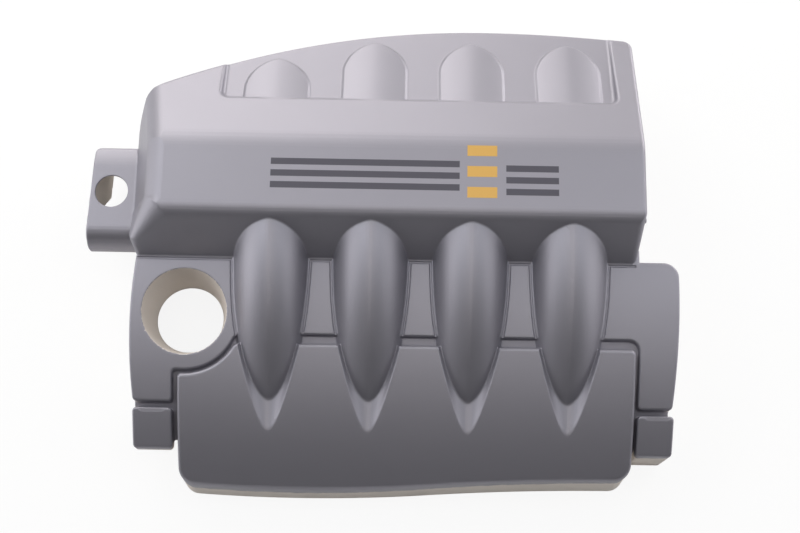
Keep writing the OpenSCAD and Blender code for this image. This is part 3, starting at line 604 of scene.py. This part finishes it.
    def lug(self, x, y, z):
        """Side lug with chamfers in front and behind and a slanting left edge."""
        s = self.s
        front = s.lug_front - y + (z - s.lug_z + s.lug_chamfer_h) * tan(s.lug_chamfer)
        front = meet(front * cos(s.lug_chamfer), z - s.lug_z, s.lug_bend_r)
        front = meet(front, s.lug_front - y, s.lug_foot_r)
        rear = y - s.lug_back + s.lug_rear_run + (z - s.lug_z) * tan(s.lug_rear_chamfer)
        rear = meet(rear * cos(s.lug_rear_chamfer), z - s.lug_z, s.lug_foot_r)
        rear = meet(rear, y - s.lug_back, s.lug_rear_r)
        side = -(x + s.lug_left) - (s.lug_hole_y - y) * tan(s.lug_slant)
        body = meet(np.maximum(front, rear), side, s.lug_edge_r)
        body = np.maximum(body, meet(y - s.lug_back, side, s.lug_corner))
        return np.maximum(body, x + self.h.deck_left)

    def lug_opening(self, x, y, z):
        """What is open under the lug: high in front, low behind, with a slanting line between."""
        s = self.s
        low = s.lug_z - s.lug_skirt
        fall = (s.lug_skirt - s.lug_front_skirt) / s.lug_cut_run
        skirt = (low + (s.lug_front + s.lug_cut_y - y) * fall - z) / math.hypot(1, fall)
        under = np.minimum(np.maximum(z - s.lug_z + s.lug_front_skirt, -skirt), z - low)
        return np.maximum(under, x + self.h.left)

    def tab_opening(self, x, y, z):
        """Everything under the left tab's short skirt."""
        a = self.a
        low = self.apron_height(a.tab_y) + a.tab_rise - a.tab_skirt
        under = np.maximum(z - low, y - a.wing_y + a.tab_gap / 2)
        return np.maximum(under, x + a.panel_left)

    def filler(self, x, y, z, wall):
        """Tapered filler opening, or the outside of the collar when it is given a wall."""
        a = self.a
        straight = a.filler_low_z + a.filler_bore_h
        slope = (a.filler_rim_r - a.filler_bore_r) / (self.apron_height(a.filler_y) - straight)
        radius = a.filler_bore_r + np.maximum(z - straight, 0) * slope + wall
        return round_bar(x, y, a.filler_x, a.filler_y, radius) * cos(math.atan(slope))

    def pocket(self, x, y, z, place):
        """Hollow of one grommet socket."""
        sx, sy, sz = place
        return np.maximum(round_bar(x, y, sx, sy, self.s.socket_r), z - sz - self.s.socket_deep)

    def ribs(self, x, y, z):
        """Cross rib, one rib over each socket and one between the front sockets."""
        s = self.s
        h = self.h
        half = s.rib_t / 2
        rear = SOCKETS["grommet_rear_left"]
        left, right = SOCKETS["grommet_front_left"], SOCKETS["grommet_front_right"]
        cross = np.maximum(np.abs(y - rear[1]) - half, h.deck_z - s.wall - s.rib_h - z)
        yield np.maximum(cross, h.slope_y - y)
        rise = (s.rib_back_z - s.rib_front_z) / self.a.ditch_y
        start, stop = h.slope_y + 10, h.back_y - 50
        for name, (sx, sy, sz) in SOCKETS.items():
            side = np.abs(x - sx) - half
            if "rear" in name:
                rib = np.maximum(side, sz + s.socket_deep + s.rib_over - z)
                yield np.maximum(np.maximum(rib, start - y), y - stop)
            else:
                under = (s.rib_front_z + rise * y - z) / math.hypot(1, rise)
                yield np.maximum(np.maximum(side, under), y - self.a.ditch_y)
        low = np.maximum(np.abs(y - left[1]) - half, s.rib_low_z - z)
        yield np.maximum(low, np.maximum(left[0] - x, x - right[0]))

    def inner_parts(self, x, y, z):
        """Collar, sockets and ribs on the inside of the shell."""
        s = self.s
        body = np.maximum(self.filler(x, y, z, s.wall), self.a.filler_low_z - z)
        for place in SOCKETS.values():
            boss = np.maximum(round_bar(x, y, *place[:2], s.socket_r + s.socket_wall), place[2] - z)
            body = np.maximum(np.minimum(body, boss), -self.pocket(x, y, z, place))
        for rib in self.ribs(x, y, z):
            body = np.minimum(body, rib)
        return body

    def outside(self, x, y, z):
        """Outer form, with small hollow fillets where its parts meet."""
        body = join(self.housing(x, y, z), self.apron(x, y, z), 0.8)
        body = join(body, self.runner(x, y, z), 1.0)
        return join(body, self.lug(x, y, z), 1.5)

    def distance(self, x, y, z):
        """The whole moulding: wall, inner parts, groove, openings and level lower edge."""
        s = self.s
        solid = self.outside(x, y, z)
        shell = np.maximum(solid, -(solid + s.wall))
        parts = np.maximum(self.inner_parts(x, y, z), solid)
        shell = np.maximum(join(shell, parts, 0.8), solid)
        for place in SOCKETS.values():
            shell = np.maximum(shell, -self.pocket(x, y, z, place))
        shell = meet(shell, -self.groove(x, y, z), 0.3)
        shell = meet(shell, -self.filler(x, y, z, 0), 0.9)
        hole = round_bar(x, y, s.lug_hole_in - s.lug_left, s.lug_hole_y, s.lug_hole_r)
        shell = meet(shell, -np.maximum(hole, s.lug_z - s.lug_hole_deep - z), 0.6)
        shell = np.maximum(shell, -self.lug_opening(x, y, z))
        shell = np.maximum(shell, -self.tab_opening(x, y, z))
        return meet(shell, -z, 0.4)


def frame_middle():
    """Middle of the CAD box, in millimetres from the middle of the runner row."""
    scene = bpy.context.scene
    right, rear = CAD_BOX[1].x / MM, CAD_BOX[1].y / MM
    return np.array((scene.cover_apron.wing_right - right, scene.cover_housing.back_y - rear, 0))


def to_frame(points):
    """Millimetres from the middle of the runner row to metres in the frame."""
    return (points - frame_middle()) * MM


def from_frame(points):
    """Metres in the frame to millimetres from the middle of the runner row."""
    return points / MM + frame_middle()


def gradient(cover, p, step):
    """Slope of the distance field at many points."""
    out = np.zeros_like(p)
    corners = np.array(((1, -1, -1), (-1, -1, 1), (-1, 1, -1), (1, 1, 1)), float)
    for k in corners:
        q = p + k * step
        out += k * cover.distance(q[:, 0], q[:, 1], q[:, 2])[:, None]
    return out / (4 * step)


def in_parts(count, size, work):
    """Runs work over slices, several at a time."""
    slices = [slice(i, min(i + size, count)) for i in range(0, count, size)]
    with ThreadPoolExecutor(4) as pool:
        list(pool.map(work, slices))


def snap(cover, points, rounds):
    """Moves points onto the surface of the distance field."""

    def work(part):
        for _ in range(rounds):
            p = points[part]
            slope = gradient(cover, p, 0.05)
            gap = cover.distance(p[:, 0], p[:, 1], p[:, 2])[:, None]
            size = np.maximum((slope**2).sum(1)[:, None], 0.25)
            points[part] = p - np.clip(gap * slope / size, -0.35, 0.35)

    in_parts(len(points), 20000, work)


def surface(cover):
    """Points and faces where the distance field is zero, from a regular grid."""
    step = 0.7
    band = 2.5 * step
    low, high = np.array(GRID_LOW), np.array(GRID_HIGH)
    axes = [np.arange(low[i], high[i], step, dtype=np.float32) for i in range(3)]
    field = np.empty([len(a) for a in axes], np.float32)
    y = axes[1][None, :, None]
    z = axes[2][None, None, :]

    def fill(part):
        x = axes[0][part][:, None, None]
        field[part] = np.clip(cover.distance(x, y, z), -band, band)

    in_parts(len(axes[0]), 12, fill)
    grid = openvdb.FloatGrid(band)
    grid.copyFromArray(field, tolerance=1e-4)
    points, triangles, quads = grid.convertToPolygons(isovalue=0.0, adaptivity=0.02)
    points = points.astype(float) * step + low
    snap(cover, points, 1)
    return points, [tuple(f[::-1]) for f in quads.tolist() + triangles.tolist()]


def thinned(shell, context):
    """Brings the shell under its budget of triangles."""
    count = len(shell.data.loops) - 2 * len(shell.data.polygons)
    if count > SHELL_TRIANGLES:
        thin = shell.modifiers.new("thin", "DECIMATE")
        thin.ratio = SHELL_TRIANGLES / count
        context.view_layer.objects.active = shell
        shell.select_set(True)
        bpy.ops.object.modifier_apply(modifier=thin.name)


def mark_outer(mesh, cover, points):
    """Marks the outer skin, which is all that the spray paint could reach."""
    x, y, z = points.T
    deep, off_bore, off_edge = cover.s.wall * 0.68, 0.15, 0.3
    outer = (np.abs(cover.outside(x, y, z)) < deep) & (cover.filler(x, y, z, 0) > off_bore) & (z > off_edge)
    layer = mesh.attributes.new("outer", "FLOAT", "POINT")
    layer.data.foreach_set("value", outer.astype(np.float32))


class MESH_OT_cover_shell(bpy.types.Operator):
    """Builds the moulded shell from its distance field, with soft edges"""

    bl_idname = "mesh.cover_shell"
    bl_label = "Cover Shell"

    def execute(self, context):
        cover = Cover(context.scene)
        points, faces = surface(cover)
        mesh = bpy.data.meshes.new("shell")
        mesh.from_pydata(to_frame(points), [], faces)
        mesh.update()
        shell = bpy.data.objects.new("shell", mesh)
        context.scene.collection.objects.link(shell)
        thinned(shell, context)
        points = np.zeros(len(shell.data.vertices) * 3)
        shell.data.vertices.foreach_get("co", points)
        points = from_frame(points.reshape(-1, 3))
        snap(cover, points, 2)
        shell.data.vertices.foreach_set("co", to_frame(points).ravel())
        shell.data.update()
        finish_normals(shell.data, cover)
        mark_outer(shell.data, cover, points)
        finish = context.scene.cover_finish
        shell.data.materials.append(paint_material(finish, grain_group(), coat_group(cover, finish)))
        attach(shell, "root")
        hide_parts("cover_shell")
        return {"FINISHED"}


def finish_normals(mesh, cover):
    """Gives each corner the exact normal of the moulding, taken just inside its face."""
    count = len(mesh.loops)
    co = np.zeros(len(mesh.vertices) * 3)
    mesh.vertices.foreach_get("co", co)
    co = from_frame(co.reshape(-1, 3))
    index = np.zeros(count, np.int32)
    mesh.loops.foreach_get("vertex_index", index)
    start = np.zeros(len(mesh.polygons), np.int32)
    mesh.polygons.foreach_get("loop_start", start)
    total = np.zeros(len(mesh.polygons), np.int32)
    mesh.polygons.foreach_get("loop_total", total)
    face = np.repeat(np.arange(len(start)), total)
    middle = np.add.reduceat(co[index], start, axis=0) / total[:, None]
    flat = np.zeros(len(mesh.polygons) * 3)
    mesh.polygons.foreach_get("normal", flat)
    flat = flat.reshape(-1, 3)[face]
    inside = co[index] * 0.96 + middle[face] * 0.04
    normals = np.zeros((count, 3))

    def work(part):
        normals[part] = gradient(cover, inside[part], 0.04)

    in_parts(count, 20000, work)
    size = np.linalg.norm(normals, axis=1)[:, None]
    normals = np.where(size > 0.3, normals / np.maximum(size, 1e-6), flat)
    away = (normals * flat).sum(1)[:, None] < 0.2
    normals = np.where(away, flat, normals)
    mesh.shade_smooth()
    mesh.normals_split_custom_set(normals.tolist())


class Web:
    """Short forms for the nodes and links of one tree."""

    def __init__(self, tree):
        self.tree = tree

    def add(self, kind, **inputs):
        node = self.tree.nodes.new(kind)
        for name, value in inputs.items():
            self.plug(node.inputs[name.replace("_", " ")], value)
        return node

    def plug(self, socket, value):
        if isinstance(value, bpy.types.NodeSocket):
            self.tree.links.new(value, socket)
        else:
            socket.default_value = value

    def math(self, operation, *values):
        node = self.tree.nodes.new("ShaderNodeMath")
        node.operation = operation
        for socket, value in zip(node.inputs, values):
            self.plug(socket, value)
        return node.outputs[0]

    def rest(self, value):
        """What is left of 1."""
        return self.math("SUBTRACT", 1.0, value)

    def ramp(self, value, low, high):
        """From 0 at low to 1 at high, with soft ends."""
        node = self.tree.nodes.new("ShaderNodeMapRange")
        node.interpolation_type = "SMOOTHSTEP"
        for name, data in (("Value", value), ("From Min", low), ("From Max", high)):
            self.plug(node.inputs[name], data)
        return node.outputs["Result"]

    def mix(self, factor, a, b):
        node = self.tree.nodes.new("ShaderNodeMix")
        node.data_type = "RGBA"
        self.plug(node.inputs["Factor"], factor)
        self.plug(node.inputs[6], a)
        self.plug(node.inputs[7], b)
        return node.outputs[2]

    def noise(self, place, scale, detail=2.0, roughness=0.5):
        node = self.add("ShaderNodeTexNoise", Vector=place, Scale=scale, Detail=detail, Roughness=roughness)
        return node.outputs["Fac"]


def new_group(name, inputs, outputs):
    """An empty shader node group with named sockets."""
    tree = bpy.data.node_groups.new(name, "ShaderNodeTree")
    for label, kind, value in inputs:
        socket = tree.interface.new_socket(label, in_out="INPUT", socket_type=kind)
        if value is not None:
            socket.default_value = value
    for label, kind in outputs:
        tree.interface.new_socket(label, in_out="OUTPUT", socket_type=kind)
    web = Web(tree)
    return web, tree.nodes.new("NodeGroupInput"), tree.nodes.new("NodeGroupOutput")


def coat_group(cover, finish):
    """Where the grey paint lies: where spray from above reached, not the inside, the collar or the low
    skirts; the ditch's walls keep the paint as painted shade, to darken the deep ditch.
    """
    web, given, result = new_group(
        "Cover Coat",
        [
            ("Position", "NodeSocketVector", None),
            ("Normal", "NodeSocketVector", None),
            ("Outer", "NodeSocketFloat", 1.0),
            ("Edge", "NodeSocketFloat", finish.edge * MM),
            ("Fade", "NodeSocketFloat", finish.fade * MM),
            ("House Depth", "NodeSocketFloat", finish.house_depth * MM),
        ],
        [("Mask", "NodeSocketFloat")],
    )
    apron = cover.a
    radius = apron.apron_r * MM
    ditch_shade_in = finish.ditch_shade_in
    left, front, _ = to_frame(np.array((ditch_shade_in - apron.tab_left, apron.tab_y + ditch_shade_in, 0)))
    right, crown_y, _ = to_frame(np.array((apron.tab_right - ditch_shade_in, apron.apron_y, 0)))
    slope_y = to_frame(np.array((0, cover.h.slope_y, 0)))[1]
    soft = 3 * MM
    place = web.add("ShaderNodeSeparateXYZ", Vector=given.outputs["Position"])
    across, along = place.outputs["X"], place.outputs["Y"]
    facing = web.add("ShaderNodeSeparateXYZ", Vector=given.outputs["Normal"]).outputs["Z"]
    before = web.math("MINIMUM", web.math("SUBTRACT", along, crown_y), 0.0)
    drop = web.math("SUBTRACT", radius**2, web.math("POWER", before, 2.0))
    arc = web.math("ADD", web.math("SQRT", drop), apron.apron_z * MM - radius)
    cloud = web.math("SUBTRACT", web.noise(given.outputs["Position"], 90.0, 3.0, 0.6), 0.5)
    depth = web.math("SUBTRACT", arc, place.outputs["Z"])
    depth = web.math("ADD", depth, web.math("MULTIPLY", cloud, finish.cloud * MM))
    behind = web.ramp(along, slope_y - 0.004, slope_y + 0.004)
    depth = web.math("SUBTRACT", depth, web.math("MULTIPLY", behind, given.outputs["House Depth"]))
    edge = given.outputs["Edge"]
    low = web.ramp(depth, edge, web.math("ADD", edge, given.outputs["Fade"]))
    wall = web.rest(web.ramp(facing, 0.22, 0.5))
    # Inside the ditch the walls stay painted grey to darken it: painted shade
    inside = web.math("MULTIPLY", web.ramp(across, left, left + soft), web.ramp(along, front, front + soft))
    inside = web.math("MULTIPLY", inside, web.rest(web.ramp(across, right - soft, right)))
    inside = web.math("MULTIPLY", inside, web.rest(behind))
    bare = web.math("MULTIPLY", web.math("MULTIPLY", low, wall), web.rest(inside))
    web.plug(result.inputs["Mask"], web.math("MULTIPLY", given.outputs["Outer"], web.rest(bare)))
    return web.tree


def grain_group():
    """Fine grain of paint or plastic as a height, with a slow change of tone."""
    web, given, result = new_group(
        "Cover Grain",
        [
            ("Position", "NodeSocketVector", None),
            ("Size", "NodeSocketFloat", 900.0),
            ("Tone Change", "NodeSocketFloat", 0.06),
        ],
        [("Height", "NodeSocketFloat"), ("Tone", "NodeSocketFloat")],
    )
    place = given.outputs["Position"]
    web.plug(result.inputs["Height"], web.noise(place, given.outputs["Size"], 2.0, 0.6))
    slow = web.math("SUBTRACT", web.noise(place, 14.0, 3.0, 0.55), 0.5)
    change = web.math("MULTIPLY", slow, given.outputs["Tone Change"])
    web.plug(result.inputs["Tone"], web.math("ADD", 1.0, change))
    return web.tree


def principled(name):
    """A new material, its node web and its main shader."""
    material = bpy.data.materials.new(name)
    material.use_nodes = True
    return material, Web(material.node_tree), material.node_tree.nodes["Principled BSDF"]


def grained(web, shader, grain, size, change, strength, color):
    """Adds grain, bump and a slow change of tone to a material."""
    place = web.add("ShaderNodeTexCoord").outputs["Object"]
    node = web.add("ShaderNodeGroup")
    node.node_tree = grain
    web.plug(node.inputs["Position"], place)
    web.plug(node.inputs["Size"], size)
    web.plug(node.inputs["Tone Change"], change)
    bump = web.add("ShaderNodeBump", Strength=strength, Distance=0.0003, Height=node.outputs["Height"])
    web.plug(shader.inputs["Normal"], bump.outputs["Normal"])
    tone = web.add("ShaderNodeHueSaturation", Value=node.outputs["Tone"], Color=color)
    web.plug(shader.inputs["Base Color"], tone.outputs["Color"])
    return place


def paint_material(finish, grain, coat):
    """Satin grey paint over bare beige plastic, whose beige is lightened to stand in for bounce light from
    below, a painted light.
    """
    material, web, shader = principled("satin paint")
    node = web.add("ShaderNodeGroup")
    node.node_tree = coat
    web.plug(node.inputs["Normal"], web.add("ShaderNodeNewGeometry").outputs["Normal"])
    outer = web.add("ShaderNodeAttribute")
    outer.attribute_name = "outer"
    web.plug(node.inputs["Outer"], outer.outputs["Fac"])
    painted = node.outputs["Mask"]
    # The bare colour carries painted light: it is lightened to stand in for bounce light from below
    tint = web.mix(painted, (*finish.bare, 1), (*finish.paint, 1))
    web.plug(node.inputs["Position"], grained(web, shader, grain, 900.0, 0.05, 0.06, tint))
    smoother = web.math("MULTIPLY", painted, finish.bare_rough - finish.paint_rough)
    web.plug(shader.inputs["Roughness"], web.math("SUBTRACT", finish.bare_rough, smoother))
    web.plug(shader.inputs["Metallic"], web.math("MULTIPLY", painted, finish.paint_metal))
    return material


def rubber_material(finish, grain):
    """Dull black rubber with a coarser grain."""
    material, web, shader = principled("rubber")
    grained(web, shader, grain, 1400.0, 0.1, 0.15, (*finish.rubber, 1))
    shader.inputs["Roughness"].default_value = 0.72
    return material


def ink_material(name, color):
    """Flat ink of one colour."""
    material, web, shader = principled(name)
    shader.inputs["Base Color"].default_value = color
    shader.inputs["Roughness"].default_value = 0.5
    return material


class MESH_OT_cover_print(bpy.types.Operator):
    """Lays plain printed bars on the flat top, in place of the real print"""

    bl_idname = "mesh.cover_print"
    bl_label = "Cover Print"

    def execute(self, context):
        ink = context.scene.cover_ink
        deck = context.scene.cover_housing.deck_z
        rows = (
            ("print_long", ink.long_x, ink.long_w, ink.long_y, ink.row_h, ink.row_gap, ink.dark),
            ("print_amber", ink.amber_x, ink.amber_w, ink.amber_y, ink.amber_h, ink.amber_gap, ink.amber),
            ("print_short", ink.short_x, ink.short_w, ink.short_y, ink.row_h, ink.row_gap, ink.dark),
        )
        box = ((3, 2, 1, 0), (4, 5, 6, 7), (0, 1, 5, 4), (1, 2, 6, 5), (2, 3, 7, 6), (3, 0, 4, 7))
        for name, x, width, y, height, gap, color in rows:
            points, faces = [], []
            for i in range(3):
                rear = y - i * (height + gap)
                plan = ((x, rear - height), (x + width, rear - height), (x + width, rear), (x, rear))
                faces += [[len(points) + k for k in face] for face in box]
                points += [(*spot, z) for z in (deck - ink.sink, deck + ink.thick) for spot in plan]
            mesh = bpy.data.meshes.new(name)
            mesh.from_pydata(to_frame(np.array(points)), [], faces)
            mesh.materials.append(ink_material(name, (*color, 1)))
            bars = bpy.data.objects.new(name, mesh)
            context.scene.collection.objects.link(bars)
            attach(bars, "root")
        return {"FINISHED"}


class OBJECT_OT_cover_grommets(bpy.types.Operator):
    """Gives the four grommets their rubber"""

    bl_idname = "object.cover_grommets"
    bl_label = "Cover Grommets"

    def execute(self, context):
        rubber = rubber_material(context.scene.cover_finish, bpy.data.node_groups["Cover Grain"])
        for name in SOCKETS:
            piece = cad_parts[name]
            piece.data.materials.clear()
            piece.data.materials.append(rubber)
        return {"FINISHED"}


# Soft lights: name, place and size in metres, power in watts and colour
SOFTBOXES = (
    ("left softbox", (-1.8, 0, 0.6), 1.2, 11.5, (1, 1, 1)),
    ("right softbox", (1.8, 0, 0.6), 1.2, 8, (1, 1, 1)),
    ("rear left softbox", (-1.0, 1.4, 1.1), 1.2, 17, (1, 0.98, 0.93)),
    ("rear softbox", (0, 1.6, 1.2), 1.2, 4.5, (1, 1, 1)),
    ("rear low softbox", (-0.3, 2.2, 0.55), 1.4, 16, (1, 0.95, 0.9)),
    ("rear right softbox", (1.6, 1.5, 0.45), 1.2, 26, (1, 0.97, 0.94)),
    ("top softbox", (0, 0.35, 2.0), 1.2, 3.5, (1, 1, 1)),
    ("top front softbox", (0, -0.35, 2.0), 1.2, 6.6, (1, 0.96, 0.9)),
    ("top left softbox", (-1.1, 0.3, 1.6), 1.1, 8, (0.9, 0.95, 1)),
    ("top right softbox", (1.1, 0.3, 1.6), 1.1, 6.7, (0.9, 0.95, 1)),
)


def add_floor(scene, studio):
    """A plain pale floor that keeps the cover's shadow and meets the camera nearly white."""
    half, gap = 4.0, 0.0005
    mesh = bpy.data.meshes.new("floor")
    points = [(-half, -half, 0), (half, -half, 0), (half, half, 0), (-half, half, 0)]
    mesh.from_pydata(points, [], [range(4)])
    floor = bpy.data.objects.new("floor", mesh)
    floor.location.z = -gap
    scene.collection.objects.link(floor)
    material, web, shader = principled("floor")
    shader.inputs["Base Color"].default_value = (*[studio.floor_white] * 3, 1)
    shader.inputs["Roughness"].default_value = 0.9
    rays = web.add("ShaderNodeLightPath").outputs["Is Camera Ray"]
    blend = web.add("ShaderNodeMixShader")
    web.plug(blend.inputs[0], web.math("MULTIPLY", rays, studio.floor_glow))
    web.plug(blend.inputs[1], shader.outputs["BSDF"])
    web.plug(blend.inputs[2], web.add("ShaderNodeEmission").outputs["Emission"])
    web.plug(web.tree.nodes["Material Output"].inputs["Surface"], blend.outputs["Shader"])
    mesh.materials.append(material)


def add_room(scene, studio):
    """A dim room that the camera sees as white."""
    scene.world = bpy.data.worlds.new("studio")
    scene.world.use_nodes = True
    web = Web(scene.world.node_tree)
    back = web.tree.nodes["Background"]
    back.inputs["Color"].default_value = (1, 1, 1, 1)
    rays = web.add("ShaderNodeLightPath").outputs["Is Camera Ray"]
    level = web.add("ShaderNodeMix", A=studio.room, B=1.0, Factor=rays)
    web.plug(back.inputs["Strength"], level.outputs["Result"])


def add_softbox(scene, name, place, size, power, color):
    """A square soft light that looks at the cover."""
    light = bpy.data.lights.new(name, "AREA")
    light.energy = power
    light.size = size
    light.color = color
    lamp = bpy.data.objects.new(name, light)
    lamp.location = place
    aim = Vector((0, 0, 0.05)) - lamp.location
    lamp.rotation_euler = aim.to_track_quat("-Z", "Y").to_euler()
    scene.collection.objects.link(lamp)


def add_camera(scene, studio):
    """The camera above the cover's front edge."""
    camera = bpy.data.cameras.new("camera")
    camera.lens = studio.lens
    camera.sensor_width = 36
    camera.clip_start = 0.05
    view = bpy.data.objects.new("camera", camera)
    view.location = to_frame(np.array((studio.view_x, studio.view_y, studio.view_z)))
    tilt = Matrix.Rotation(studio.tilt, 3, "X")
    roll = Matrix.Rotation(studio.roll, 3, "Z")
    view.rotation_euler = (tilt @ roll).to_euler()
    scene.collection.objects.link(view)
    scene.camera = view


class SCENE_OT_cover_studio(bpy.types.Operator):
    """Sets up the floor, the room, the soft lights and the camera"""

    bl_idname = "scene.cover_studio"
    bl_label = "Cover Studio"

    def execute(self, context):
        scene = context.scene
        studio = scene.cover_studio
        add_floor(scene, studio)
        add_room(scene, studio)
        for softbox in SOFTBOXES:
            add_softbox(scene, *softbox)
        add_camera(scene, studio)
        scene.view_settings.view_transform = "Standard"
        return {"FINISHED"}


class VIEW3D_PT_engine_cover(bpy.types.Panel):
    """Settings of the engine cover"""

    bl_label = "Engine Cover"
    bl_space_type = "VIEW_3D"
    bl_region_type = "UI"
    bl_category = "Engine Cover"

    def draw(self, context):
        for operator in OPERATORS:
            self.layout.operator(operator.bl_idname)
        for name, group in GROUPS.items():
            column = self.layout.box().column()
            for field in group.__annotations__:
                column.prop(getattr(context.scene, name), field)


GROUPS = {
    "cover_housing": CoverHousing,
    "cover_apron": CoverApron,
    "cover_side": CoverSide,
    "cover_finish": CoverFinish,
    "cover_studio": CoverStudio,
    "cover_ink": CoverInk,
}
OPERATORS = (
    MESH_OT_cover_shell,
    MESH_OT_cover_print,
    OBJECT_OT_cover_grommets,
    SCENE_OT_cover_studio,
)
CLASSES = (*GROUPS.values(), *OPERATORS, VIEW3D_PT_engine_cover)


def register():
    for cls in CLASSES:
        bpy.utils.register_class(cls)
    for name, cls in GROUPS.items():
        setattr(bpy.types.Scene, name, bpy.props.PointerProperty(type=cls))


def unregister():
    for name in GROUPS:
        delattr(bpy.types.Scene, name)
    for cls in reversed(CLASSES):
        bpy.utils.unregister_class(cls)


def main():
    register()
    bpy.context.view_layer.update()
    bpy.ops.mesh.cover_shell()
    bpy.ops.mesh.cover_print()
    bpy.ops.object.cover_grommets()
    bpy.ops.scene.cover_studio()


if __name__ == "__main__":
    main()
